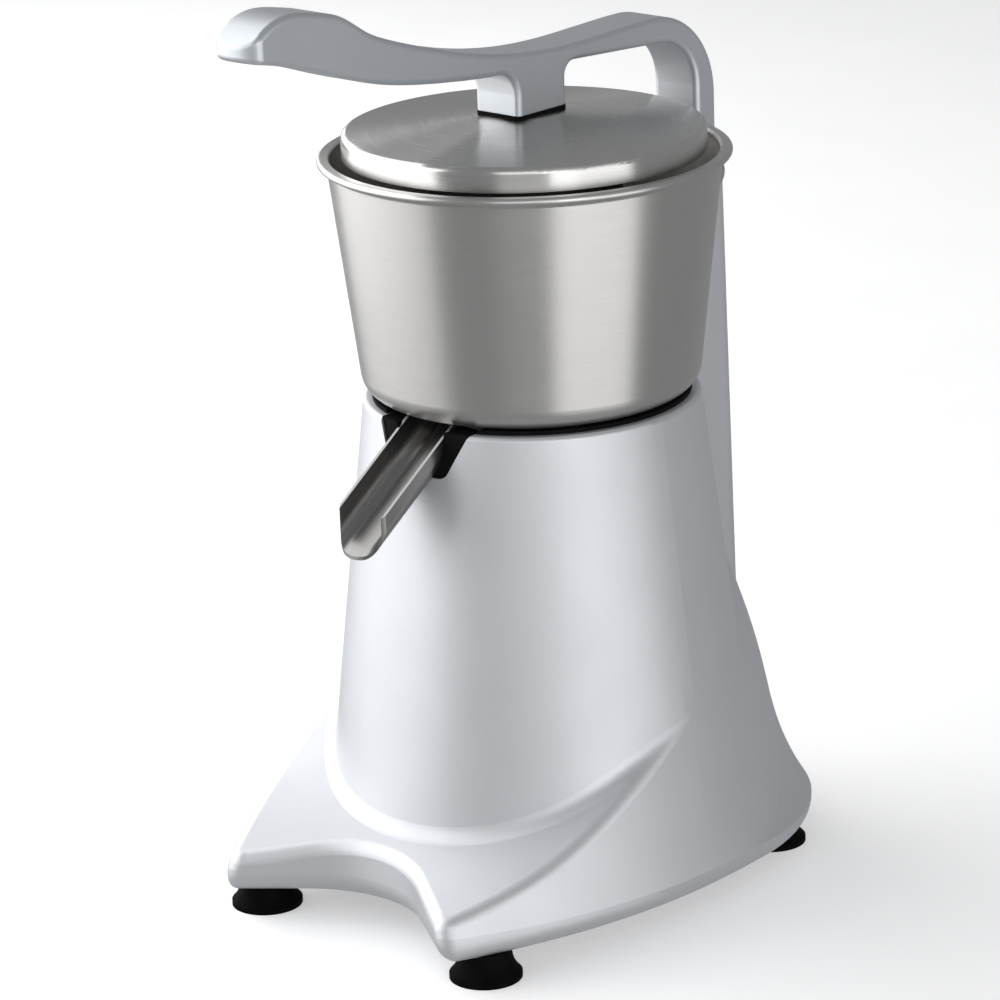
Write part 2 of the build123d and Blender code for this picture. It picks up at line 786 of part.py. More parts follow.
def windings():
    upper = tube(winding_radius, stator_bore + winding_inset, stator_top, stator_top + winding_height)
    lower = tube(winding_radius, stator_bore + winding_inset, stator_foot - winding_height, stator_foot)
    return [upper, lower]


def bell(low, high, plate_low):
    """An end bell: a cup with its plate at one end."""
    cup = tube(bell_radius, bell_radius - bell_wall, low, high)
    return cup + rod(bell_radius, plate_low, plate_low + bell_wall)


def top_bell():
    cup = bell(stator_top, bell_top, bell_top - bell_wall)
    cup -= rod(shaft_radius + bell_shaft_gap, stator_top, bell_top)
    return cup - motor_places() * rod(motor_screw_radius + screw_gap, stator_top, bell_top)


def bottom_bell():
    cup = bell(bell_bottom, stator_foot, bell_bottom)
    cup += rod(lower_bearing_radius + bell_wall, bell_bottom, bell_bottom + bearing_height)
    return cup - rod(lower_bearing_radius + seat_fit, bell_bottom, stator_foot)


def motor_screw():
    under = bell_top - bell_wall
    head = rod(motor_screw_head_radius, under - motor_screw_head, under)
    return head + rod(motor_screw_radius, under, bell_top + motor_screw_reach - screw_gap)


def rotor():
    return tube(rotor_radius, shaft_radius + seat_fit,
                stator_foot - rotor_overhang, stator_top + rotor_overhang)


def fan():
    wheel = rod(fan_hub_radius, fan_foot, fan_foot + fan_height)
    wheel += rod(fan_radius, fan_foot, fan_foot + fan_disc)
    blade_length = fan_radius - fan_hub_radius
    blade = Pos((fan_radius + fan_hub_radius) / 2, 0, fan_foot + fan_height / 2) * Box(
        blade_length + fan_blade, fan_blade, fan_height)
    for turn in range(fan_blade_count):
        wheel += Rot(0, 0, 360 * turn / fan_blade_count) * blade
    wheel = wheel & rod(fan_radius, fan_foot, fan_foot + fan_height)
    return wheel - rod(shaft_radius + seat_fit, fan_foot, fan_foot + fan_height)


def capacitor():
    can = rod(capacitor_radius, plate_top + capacitor_cup_wall, plate_top + capacitor_height)
    return Pos(capacitor_x, capacitor_y, 0) * fillet(can.edges().sort_by(Axis.Z)[-1], capacitor_cup_wall)


def capacitor_cup():
    cup = rod(capacitor_radius + capacitor_cup_wall, plate_top, plate_top + capacitor_cup_height)
    cup -= rod(capacitor_radius + seat_fit, plate_top + capacitor_cup_wall,
               plate_top + capacitor_cup_height)
    return Pos(capacitor_x, capacitor_y, 0) * cup


def terminal_block():
    top = plate_top + terminal_height
    block = slab(terminal_length / 2, terminal_y - terminal_depth / 2, terminal_y + terminal_depth / 2,
                 plate_top, top)
    well = Pos(0, terminal_y, 0) * rod(terminal_well_radius, top - terminal_well_depth, top)
    return block - GridLocations(terminal_step, 0, terminal_count, 1) * well


def rearward(shape, y, z):
    """A shape drawn standing on the origin, laid to point to the rear from y at height z."""
    return Pos(0, y, z) * Rot(-90, 0, 0) * shape


def panel_screw_places():
    x = recess_half - panel_screw_inset
    low, high = recess_low + panel_screw_inset, recess_high - panel_screw_inset
    return [(-x, low), (x, low), (-x, high), (x, high)]


def rear_panel():
    panel = slab(recess_half - panel_gap, recess_floor_y, panel_face_y,
                 recess_low + panel_gap, recess_high - panel_gap)
    panel -= slab(switch_half_width, recess_floor_y, panel_face_y, switch_z - switch_half_height,
                  switch_z + switch_half_height)
    hole = rod(gland_thread_radius + seat_fit, 0, panel_thickness)
    return panel - rearward(hole, recess_floor_y, gland_z)


def panel_screws():
    head = rod(panel_screw_radius, 0, panel_screw_height)
    head = fillet(head.edges().sort_by(Axis.Z)[-1], panel_screw_height / 2)
    return [Pos(x, 0, 0) * rearward(head, panel_face_y, z) for x, z in panel_screw_places()]


def rocker_y():
    return panel_face_y + bezel_thickness - rocker_pivot_depth


def switch_body():
    """The switch's case behind the panel and its bezel in front, hollowed for the rocker."""
    half, tall = switch_half_width - seat_fit, switch_half_height - seat_fit
    case = slab(half, panel_face_y - switch_depth, panel_face_y, switch_z - tall, switch_z + tall)
    case += slab(half + bezel_overlap, panel_face_y, panel_face_y + bezel_thickness,
                 switch_z - tall - bezel_overlap, switch_z + tall + bezel_overlap)
    case -= cross_rod(rocker_radius + rocker_gap, rocker_half + rocker_gap, rocker_y(), switch_z)
    return case - cross_rod(rocker_pin_radius + shaft_fit, rocker_half + rocker_pin_length + rocker_gap,
                            rocker_y(), switch_z)


def switch_rocker():
    """A drum with a shallow valley across its face, tilted to the off side."""
    drum = cross_rod(rocker_radius, rocker_half, 0, 0)
    face = make_face(Polyline(
        (-rocker_radius, -rocker_radius), (rocker_rise, -rocker_radius), (rocker_valley, 0),
        (rocker_rise, rocker_radius), (-rocker_radius, rocker_radius), close=True))
    drum = drum & Pos(-rocker_half, 0, 0) * extrude(Plane.YZ * face, 2 * rocker_half)
    drum += cross_rod(rocker_pin_radius, rocker_half + rocker_pin_length, 0, 0)
    return Pos(0, rocker_y(), switch_z) * Rot(rocker_tilt, 0, 0) * drum


def hexagon(flats, height):
    return extrude(RegularPolygon(flats / 2, 6, major_radius=False), height)


def cord_gland():
    """A threaded gland with a hexagon flange and a domed nut; the cord's bore runs right through."""
    gland = hexagon(2 * (gland_thread_radius + gland_flange_rim), gland_flange)
    nut = rod(gland_thread_radius + gland_nut_rim, gland_flange, gland_flange + gland_nut)
    gland += fillet(nut.edges().sort_by(Axis.Z)[-1], gland_nut_round)
    gland += rod(gland_thread_radius, -panel_thickness - gland_inside, gland_flange)
    gland -= rod(gland_bore, -panel_thickness - gland_inside, gland_flange + gland_nut)
    return rearward(gland, panel_face_y, gland_z)


def gland_locknut():
    nut = hexagon(2 * (gland_thread_radius + locknut_rim), locknut_thickness)
    nut -= rod(gland_thread_radius + seat_fit, 0, locknut_thickness)
    return rearward(nut, recess_floor_y - locknut_thickness, gland_z)


def lever_point(shares):
    return shares[0] * lever_reach, boss_bottom + shares[1] * lever_rise


def lever_face():
    """The lever seen from the side: paddle, swan neck, boss, window and rear leg."""
    back_z = lever_back_top - lever_back_round
    back_y = leg_rear - lever_back_round
    window_y = leg_front - lever_window_round
    window_z = lever_window_top - lever_window_round
    window_front_z = lever_window_top + lever_window_rise
    tip = lever_point(lever_tip_shares)
    tip_low = (tip[0], tip[1] - lever_tip_thickness)
    neck = lever_point(lever_neck_shares)
    top_curve = [lever_point(shares) for shares in lever_top_shares]
    under_curve = [lever_point(shares) for shares in lever_under_shares]
    edges = [
        CenterArc((back_y, back_z), lever_back_round, 0, 90),
        Spline([(back_y, lever_back_top), *top_curve, tip], tangents=[(-1, 0), lever_tip_heading]),
        Line(tip, tip_low),
        Spline([tip_low, *under_curve, neck]),
        Polyline(neck, (boss_front, neck[1]), (boss_front, boss_bottom), (boss_rear, boss_bottom),
                 (boss_rear, window_front_z), (window_y, lever_window_top)),
        CenterArc((window_y, window_z), lever_window_round, 0, 90),
        Polyline((leg_front, window_z), (leg_front, leg_foot), (leg_rear, leg_foot), (leg_rear, back_z)),
    ]
    face = rounded_at(make_face(edges), (boss_front, neck[1]), boss_front_round)
    return rounded_at(face, (boss_rear, window_front_z), lever_window_front_round)


def lever_eye():
    """The leg's foot seen from the side, running into the round eye on the pivot."""
    foot = make_face(Polyline((leg_front, leg_foot), (pivot_y, pivot_z), (leg_rear, leg_foot), close=True))
    return foot + Pos(pivot_y, pivot_z) * Circle(eye_radius)


def lever_arm():
    arm = Pos(-lever_half, 0, 0) * extrude(Plane.YZ * lever_face(), 2 * lever_half)
    corner_y = lever_tip_crown - lever_reach
    plan = make_face([
        ThreePointArc((-lever_half, corner_y), (0, -lever_reach), (lever_half, corner_y)),
        Polyline((lever_half, corner_y), (lever_half, 2 * rim_radius), (-lever_half, 2 * rim_radius),
                 (-lever_half, corner_y)),
    ])
    plan = fillet(plan.vertices().group_by(Axis.Y)[0], lever_tip_round)
    arm = arm & extrude(plan, 2 * turret_top)
    seats = arm.faces().filter_by(Axis.Z).edges()
    rims = [edge for edge in arm.faces().filter_by(Axis.X).edges() if edge not in seats]
    # A fixed order, so that the rounding comes out the same at each build
    rims.sort(key=lambda edge: edge.length * edge.center().X, reverse=True)
    arm = fillet(rims, lever_edge_round)
    arm += Pos(-lever_half, 0, 0) * extrude(Plane.YZ * lever_eye(), 2 * lever_half)
    arm -= cross_rod(pin_radius + seat_fit, 2 * lever_half, pivot_y, pivot_z)
    return arm - rod(lid_screw_radius + screw_gap, boss_bottom, boss_bottom + lid_screw_reach)


def pivot_pin():
    return cross_rod(pin_radius, column_top_half + clip_gap + 2 * clip_thickness, pivot_y, pivot_z)


def side_ring(outer, inner, near, far):
    """Two rings about the pivot, one on each side, between two distances from the middle."""
    ring = Pos(near, pivot_y, pivot_z) * Rot(0, 90, 0) * tube(outer, inner, 0, far - near)
    return [ring, mirror(ring, Plane.YZ)]


def lid():
    """A shallow pan, upside down, with a rounded shoulder and a low cone for its top."""
    outer = make_face(Polyline(
        (0, lid_bottom), (lid_radius, lid_bottom), (lid_radius, lid_shoulder_z),
        (lid_crown_radius, lid_crown), (0, lid_crown), close=True))
    outer = rounded_at(outer, (lid_radius, lid_shoulder_z), lid_shoulder_round)
    inner_radius = lid_radius - sheet
    inner_shoulder = lid_shoulder_z - sheet
    inner = make_face(Polyline(
        (0, lid_bottom), (inner_radius, lid_bottom), (inner_radius, inner_shoulder),
        (lid_crown_radius, lid_crown - sheet), (0, lid_crown - sheet), close=True))
    inner = rounded_at(inner, (inner_radius, inner_shoulder), lid_shoulder_round - sheet)
    pan = revolve(Plane.XZ * outer, Axis.Z) - revolve(Plane.XZ * inner, Axis.Z)
    return pan - rod(lid_screw_radius + screw_gap, lid_bottom, lid_crown)


def lid_gasket():
    width = 2 * (lever_half + gasket_margin)
    length = boss_rear - boss_front + 2 * gasket_margin
    pad = RectangleRounded(width, length, gasket_corner)
    pad = Pos(0, (boss_rear + boss_front) / 2, lid_crown) * extrude(pad, gasket_thickness)
    return pad - rod(lid_screw_radius + screw_gap, lid_crown, boss_bottom)


def press_cup():
    """The bell under the lid that holds the fruit over the reamer."""
    shoulder = (cup_mouth_radius - cup_shoulder_inset, cup_top - cup_shoulder_drop)
    inner_shoulder = (shoulder[0] - cup_wall, shoulder[1] - cup_wall / 2)
    inner_top = cup_top - cup_wall
    inner_mouth = (cup_mouth_radius - cup_wall, cup_mouth_z)
    inner_rim = (cup_top_radius - cup_wall, inner_top)
    cup = turned([
        Polyline(inner_mouth, (cup_mouth_radius, cup_mouth_z)),
        Spline((cup_mouth_radius, cup_mouth_z), shoulder, (cup_top_radius, cup_top),
               tangents=[(0, 1), (-1, 0)]),
        Polyline((cup_top_radius, cup_top), (0, cup_top), (0, inner_top), inner_rim),
        Spline(inner_rim, inner_shoulder, inner_mouth, tangents=[(1, 0), (0, -1)]),
    ])
    return cup - rod(lid_screw_radius + screw_gap, cup_mouth_z, cup_top)


def lid_screw():
    under = cup_top - cup_wall
    head = rod(lid_screw_head_radius, under - lid_screw_head, under)
    head = fillet(head.edges().sort_by(Axis.Z)[0], lid_screw_head_round)
    return head + rod(lid_screw_radius, under, boss_bottom + lid_screw_reach - screw_gap)


def pieces():
    """Every node's name, with its solid or its group of equal solids."""
    ear_outside = column_top_half + clip_gap
    made = {
        "housing": housing(),
        "base_plate": base_plate(),
        "foot_screws": [foot_place(place) * foot_screw() for place in foot_places],
        "bowl": bowl(),
        "bowl_seal": bowl_seal(),
        "spout": spout(),
        "spout_seal": spout_seal(),
        "strainer": strainer(),
        "reamer": reamer(),
        "drive_shaft": drive_shaft(),
        "drive_pin": cross_rod(drive_pin_radius, reamer_hub_radius - drive_pin_inset, 0, drive_pin_z),
        "shaft_seal": shaft_seal(),
        "upper_bearing": upper_bearing(),
        "lower_bearing": lower_bearing(),
        "stator": stator(),
        "windings": windings(),
        "motor_top_bell": top_bell(),
        "motor_bottom_bell": bottom_bell(),
        "motor_screws": [place * motor_screw() for place in motor_places()],
        "rotor": rotor(),
        "fan": fan(),
        "capacitor": capacitor(),
        "capacitor_cup": capacitor_cup(),
        "terminal_block": terminal_block(),
        "rear_panel": rear_panel(),
        "panel_screws": panel_screws(),
        "switch_body": switch_body(),
        "switch_rocker": switch_rocker(),
        "cord_gland": cord_gland(),
        "gland_locknut": gland_locknut(),
        "lever_arm": lever_arm(),
        "pivot_pin": pivot_pin(),
        "pivot_bushes": side_ring(bush_radius, pin_radius + shaft_fit,
                                  lever_half + fork_gap, column_top_half),
        "pivot_clips": side_ring(pin_radius + clip_wall, pin_radius + seat_fit,
                                 ear_outside, ear_outside + clip_thickness),
        "lid": lid(),
        "lid_gasket": lid_gasket(),
        "press_cup": press_cup(),
        "lid_screw": lid_screw(),
    }
    for place in foot_places:
        made["foot_" + place[0]] = foot_place(place) * foot()
    return made


def main():
    os.makedirs("parts", exist_ok=True)
    for name, made in pieces().items():
        shape = Compound(made) if isinstance(made, list) else made
        export_step(Pos(0, -mid_y, 0) * shape, f"parts/{name}.step")


main()
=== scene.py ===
# Looks of the lever citrus juicer: a silver cast body, a brushed bowl and lid, a satin lever.
# Lengths are in metres, in the part's own frame.
import json
from math import cos, pi, radians, sin

import bmesh
import bpy
from mathutils import Matrix, Vector


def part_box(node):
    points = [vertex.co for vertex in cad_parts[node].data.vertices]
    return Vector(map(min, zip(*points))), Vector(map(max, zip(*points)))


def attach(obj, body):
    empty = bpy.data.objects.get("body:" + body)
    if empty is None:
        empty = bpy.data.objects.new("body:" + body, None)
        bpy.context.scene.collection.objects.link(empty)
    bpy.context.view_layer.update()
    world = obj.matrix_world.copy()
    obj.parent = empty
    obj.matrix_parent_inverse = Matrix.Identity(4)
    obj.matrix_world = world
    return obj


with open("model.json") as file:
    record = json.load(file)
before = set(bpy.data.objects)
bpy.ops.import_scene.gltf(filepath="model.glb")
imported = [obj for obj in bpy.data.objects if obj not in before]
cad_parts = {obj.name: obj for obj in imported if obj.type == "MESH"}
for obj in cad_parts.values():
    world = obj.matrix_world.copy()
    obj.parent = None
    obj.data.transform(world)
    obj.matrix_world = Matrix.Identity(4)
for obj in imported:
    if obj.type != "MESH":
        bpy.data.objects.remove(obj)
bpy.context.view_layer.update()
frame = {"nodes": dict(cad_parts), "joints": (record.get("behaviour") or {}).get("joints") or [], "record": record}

# Camera of the photograph
camera_azimuth = radians(42.69)
camera_elevation = radians(17.84)
camera_roll = radians(-2.02)
camera_distance = 2.18454
camera_target = Vector((-0.00355, 0.00194, 0.19509))
camera_lens = 160.99
camera_sensor = 36.0

# Studio: softboxes as azimuth, elevation, distance, width, height and power
left_box = (radians(-55.5), radians(12), 1.9, 3.6, 2.2, 50.0)
right_box = (radians(84), radians(-4), 1.9, 1.9, 2.0, 15.5)
front_box = (radians(50), radians(16), 2.4, 2.2, 1.6, 13.0)
back_box = (radians(256), radians(16), 2.2, 1.6, 1.0, 9.0)
high_box = (radians(-75), radians(50), 1.9, 1.8, 1.0, 10.0)
light_height = 0.22
floor_half = 10.0
floor_glow = 0.35
floor_roughness = 0.9
floor_colours = ((0.83, 0.83, 0.835), (0.86, 0.86, 0.865))
glow_colour = (1, 1, 1, 1)
world_grey = (0.30, 0.305, 0.31)
world_strength = 1.0

# Noises of the finishes, as scale and detail
flake_noise = (2600.0, 2.0)
paint_wear_noise = (30.0, 4.0)
peel_noise = (420.0, 2.0)
streak_noise = (2200.0, 4.0)
rubber_tone_noise = (90.0, 5.0)
rubber_wear_noise = (500.0, 3.0)
rubber_skin_noise = (1500.0, 2.0)
plastic_tone_noise = (60.0, 4.0)
plastic_wear_noise = (800.0, 3.0)
plastic_skin_noise = (1800.0, 2.0)
alloy_tone_noise = (160.0, 6.0)
alloy_wear_noise = (300.0, 5.0)
alloy_skin_noise = (500.0, 5.0)
sheet_noise = (900.0, 1.0)
sheet_stretch = (0.01, 0.01, 1)
floor_noise = (12.0, 4.0)

# Noises in rings about the drive axis, as scale across the rings and share around them
fine_rings = (2400.0, 0.0015)
wear_rings = (500.0, 0.004)
wire_rings = (700.0, 0.002)
ring_detail = 4.0
ring_roughness = 0.65
ring_turn = 0.25

# Where in a noise its effect starts and ends
noise_span = (0.3, 0.7)
flake_span = (0.2, 0.8)
line_span = (0.4, 0.6)

# How far wear lowers and raises a finish's own roughness
paint_wear = (0.02, 0.03)
ring_wear = (0.02, 0.03)
streak_wear = (0.05, 0.07)
plastic_wear = (0.05, 0.06)

# Lowest and highest roughness of the finishes that come in one roughness only
rubber_roughness = (0.55, 0.72)
alloy_roughness = (0.38, 0.55)
sheet_roughness = (0.35, 0.6)
wire_roughness = (0.25, 0.45)

# Relief of the finishes, as strength and depth
peel_relief = (0.05, 0.0004)
ring_relief = (0.05, 0.0001)
streak_relief = (0.08, 0.0002)
rubber_relief = (0.15, 0.0003)
plastic_relief = (0.10, 0.0002)
alloy_relief = (0.25, 0.0006)
sheet_relief = (0.4, 0.0004)
wire_relief = (0.6, 0.0006)

# Clear coats, shine and the colours of core and wire
paint_coat = 0.12
paint_coat_roughness = 0.28
wire_coat = 0.5
wire_coat_roughness = 0.2
rubber_shine = 0.03
plastic_shine = 0.5
sheet_colours = ((0.12, 0.12, 0.13), (0.36, 0.36, 0.37))
wire_colours = ((0.26, 0.09, 0.035), (0.66, 0.30, 0.13))

# Rocker of the switch, with its two marks
rocker_radius = 0.0096
rocker_rise = 0.0056
rocker_valley = 0.0028
rocker_tilt = radians(8)
mark_share = 0.52
mark_bar_half = 0.00045
mark_bar_length = 0.0036
mark_ring_outer = 0.0018
mark_ring_inner = 0.0013
mark_thickness = 0.00016
mark_colours = ((0.74, 0.74, 0.73), (0.84, 0.84, 0.83))
mark_roughness = 0.45

# Cross recesses in the heads of the panel screws, as painted shade: flat dark crosses stand in for the shade
# inside the recesses
screw_head_radius = 0.0026
recess_arm = 0.0014
recess_half = 0.00035
recess_thickness = 0.00008
recess_turn = radians(37)
# Colours of the painted recess shade
painted_recess_shade_colours = ((0.015, 0.015, 0.015), (0.040, 0.040, 0.042))

curve_steps = 24
weld_distance = 0.000001

# Where the drive axis stands
shaft_low, shaft_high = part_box("drive_shaft")
axis_place = (shaft_low + shaft_high) / 2


def camera_axes(azimuth, elevation):
    """Directions to the right, up and back of a camera that looks at the object."""
    back = Vector((sin(azimuth) * cos(elevation), -cos(azimuth) * cos(elevation), sin(elevation)))
    right = (-back).cross(Vector((0, 0, 1))).normalized()
    return right, right.cross(-back), back


def add_camera():
    right, up, back = camera_axes(camera_azimuth, camera_elevation)
    tilted_right = right * cos(camera_roll) + up * sin(camera_roll)
    tilted_up = up * cos(camera_roll) - right * sin(camera_roll)
    data = bpy.data.cameras.new("camera")
    data.lens = camera_lens
    data.sensor_width = camera_sensor
    camera = bpy.data.objects.new("camera", data)
    turn = Matrix((tilted_right, tilted_up, back)).transposed().to_4x4()
    camera.matrix_world = Matrix.Translation(camera_target + back * camera_distance) @ turn
    bpy.context.scene.collection.objects.link(camera)
    bpy.context.scene.camera = camera


def add_softbox(name, azimuth, elevation, distance, width, height, power):
    right, up, back = camera_axes(azimuth, elevation)
    data = bpy.data.lights.new(name, "AREA")
    data.shape = "RECTANGLE"
    data.size = width
    data.size_y = height
    data.energy = power
    lamp = bpy.data.objects.new(name, data)
    place = Vector((axis_place.x, axis_place.y, light_height)) + back * distance
    lamp.matrix_world = Matrix.Translation(place) @ Matrix((right, up, back)).transposed().to_4x4()
    bpy.context.scene.collection.objects.link(lamp)


def add_world():
    world = bpy.data.worlds.new("studio")
    world.use_nodes = True
    ground = world.node_tree.nodes["Background"]
    ground.inputs["Color"].default_value = (*world_grey, 1)
    ground.inputs["Strength"].default_value = world_strength
    bpy.context.scene.world = world
    bpy.context.scene.view_settings.view_transform = "Standard"


def add(tree, kind, inputs=None, **settings):
    """A new node with its settings and the values of its sockets."""
    made = tree.nodes.new(kind)
    for name, value in settings.items():
        setattr(made, name, value)
    for name, value in (inputs or {}).items():
        made.inputs[name].default_value = value
    return made


def new_material(name, **values):
    """A material with its shader's own sockets set, such as metallic or anisotropic."""
    material = bpy.data.materials.new(name)
    material.use_nodes = True
    tree = material.node_tree
    shader = tree.nodes["Principled BSDF"]
    for socket, value in values.items():
        shader.inputs[socket.replace("_", " ").title().replace("Ior", "IOR")].default_value = value
    return material, tree, shader


def grain(tree, scale, detail, stretch=(1, 1, 1)):
    """Noise in the part's own frame, drawn out by stretch."""
    place = add(tree, "ShaderNodeTexCoord")
    sized = add(tree, "ShaderNodeMapping", {"Scale": stretch})
    noise = add(tree, "ShaderNodeTexNoise", {"Scale": scale, "Detail": detail})
    tree.links.new(place.outputs["Object"], sized.inputs["Vector"])
    tree.links.new(sized.outputs["Vector"], noise.inputs["Vector"])
    return noise.outputs["Fac"]


def rings(tree, pitch_scale, around_scale):
    """Noise in fine rings about the drive axis that fade slowly around it."""
    place = add(tree, "ShaderNodeTexCoord")
    centred = add(tree, "ShaderNodeMapping", {"Location": (-axis_place.x, -axis_place.y, 0)})
    flat = add(tree, "ShaderNodeVectorMath", {1: (1, 1, 0)}, operation="MULTIPLY")
    radius = add(tree, "ShaderNodeVectorMath", operation="LENGTH")
    around = add(tree, "ShaderNodeVectorMath", operation="NORMALIZE")
    slow = add(tree, "ShaderNodeVectorMath", {"Scale": around_scale}, operation="SCALE")
    parts = add(tree, "ShaderNodeSeparateXYZ")
    along = add(tree, "ShaderNodeMath", operation="ADD")
    level = add(tree, "ShaderNodeCombineXYZ")
    both = add(tree, "ShaderNodeVectorMath", operation="ADD")
    noise = add(tree, "ShaderNodeTexNoise", {
        "Scale": pitch_scale, "Detail": ring_detail, "Roughness": ring_roughness})
    links = tree.links
    links.new(place.outputs["Object"], centred.inputs["Vector"])
    links.new(centred.outputs["Vector"], flat.inputs[0])
    links.new(flat.outputs["Vector"], radius.inputs[0])
    links.new(flat.outputs["Vector"], around.inputs[0])
    links.new(around.outputs["Vector"], slow.inputs[0])
    links.new(centred.outputs["Vector"], parts.inputs[0])
    links.new(radius.outputs["Value"], along.inputs[0])
    links.new(parts.outputs["Z"], along.inputs[1])
    links.new(along.outputs["Value"], level.inputs["Z"])
    links.new(slow.outputs["Vector"], both.inputs[0])
    links.new(level.outputs["Vector"], both.inputs[1])
    links.new(both.outputs["Vector"], noise.inputs["Vector"])
    return noise.outputs["Fac"]


def tint(tree, shader, amount, dark, pale, span=noise_span):
    """The colour runs from dark to pale with a noise."""
    ramp = add(tree, "ShaderNodeValToRGB")
    ramp.color_ramp.elements[0].position = span[0]
    ramp.color_ramp.elements[1].position = span[1]
    ramp.color_ramp.elements[0].color = (*dark, 1)
    ramp.color_ramp.elements[1].color = (*pale, 1)
    tree.links.new(amount, ramp.inputs["Fac"])
    tree.links.new(ramp.outputs["Color"], shader.inputs["Base Color"])


def roughen(tree, shader, amount, low, high):
    """The roughness runs between two values with a noise."""
    span = add(tree, "ShaderNodeMapRange", {
        "From Min": noise_span[0], "From Max": noise_span[1], "To Min": low, "To Max": high})
    tree.links.new(amount, span.inputs["Value"])
    tree.links.new(span.outputs["Result"], shader.inputs["Roughness"])


def worn(rough, wear):
    """The lowest and highest roughness of a finish with its wear."""
    return rough - wear[0], rough + wear[1]


def emboss(tree, shader, height, strength, depth):
    """Relief from a noise, as deep as depth at full strength."""
    bump = add(tree, "ShaderNodeBump", {"Strength": strength, "Distance": depth})
    tree.links.new(height, bump.inputs["Height"])
    tree.links.new(bump.outputs["Normal"], shader.inputs["Normal"])


def metallic_paint(name, dark, pale, rough, metal):
    """Silver paint: fine flakes in the colour, slight orange peel, a thin clear coat."""
    material, tree, shader = new_material(
        name, metallic=metal, coat_weight=paint_coat, coat_roughness=paint_coat_roughness)
    tint(tree, shader, grain(tree, *flake_noise), dark, pale, flake_span)
    roughen(tree, shader, grain(tree, *paint_wear_noise), *worn(rough, paint_wear))
    emboss(tree, shader, grain(tree, *peel_noise), *peel_relief)
    return material


def turned_steel(name, dark, pale, rough, anisotropy):
    """Steel brushed in rings about the drive axis."""
    material, tree, shader = new_material(
        name, metallic=1.0, anisotropic=anisotropy, anisotropic_rotation=ring_turn)
    tangent = add(tree, "ShaderNodeTangent", direction_type="RADIAL", axis="Z")
    tree.links.new(tangent.outputs["Tangent"], shader.inputs["Tangent"])
    fine = rings(tree, *fine_rings)
    tint(tree, shader, fine, dark, pale)
    roughen(tree, shader, rings(tree, *wear_rings), *worn(rough, ring_wear))
    emboss(tree, shader, fine, *ring_relief)
    return material


def drawn_steel(name, dark, pale, rough, stretch):
    """Steel with streaks along the directions in which stretch is small."""
    material, tree, shader = new_material(name, metallic=1.0)
    streaks = grain(tree, *streak_noise, stretch)
    tint(tree, shader, streaks, dark, pale)
    roughen(tree, shader, streaks, *worn(rough, streak_wear))
    emboss(tree, shader, streaks, *streak_relief)
    return material


def rubber(name, dark, pale):
    material, tree, shader = new_material(name, specular_ior_level=rubber_shine)
    tint(tree, shader, grain(tree, *rubber_tone_noise), dark, pale)
    roughen(tree, shader, grain(tree, *rubber_wear_noise), *rubber_roughness)
    emboss(tree, shader, grain(tree, *rubber_skin_noise), *rubber_relief)
    return material


def moulded_plastic(name, dark, pale, rough):
    """Plastic from a spark-eroded mould: an even fine grain."""
    material, tree, shader = new_material(name, specular_ior_level=plastic_shine)
    tint(tree, shader, grain(tree, *plastic_tone_noise), dark, pale)
    roughen(tree, shader, grain(tree, *plastic_wear_noise), *worn(rough, plastic_wear))
    emboss(tree, shader, grain(tree, *plastic_skin_noise), *plastic_relief)
    return material


def cast_alloy(name, dark, pale):
    material, tree, shader = new_material(name, metallic=1.0)
    tint(tree, shader, grain(tree, *alloy_tone_noise), dark, pale)
    roughen(tree, shader, grain(tree, *alloy_wear_noise), *alloy_roughness)
    emboss(tree, shader, grain(tree, *alloy_skin_noise), *alloy_relief)
    return material


def laminations(name):
    """Stacked sheets of core steel, seen as fine level lines."""
    material, tree, shader = new_material(name, metallic=1.0)
    lines = grain(tree, *sheet_noise, sheet_stretch)
    tint(tree, shader, lines, *sheet_colours, line_span)
    roughen(tree, shader, lines, *sheet_roughness)
    emboss(tree, shader, lines, *sheet_relief)
    return material


def wound_copper(name):
    """Varnished wire laid around the bore."""
    material, tree, shader = new_material(
        name, metallic=1.0, coat_weight=wire_coat, coat_roughness=wire_coat_roughness)
    wires = rings(tree, *wire_rings)
    tint(tree, shader, wires, *wire_colours, line_span)
    roughen(tree, shader, wires, *wire_roughness)
    emboss(tree, shader, wires, *wire_relief)
    return material


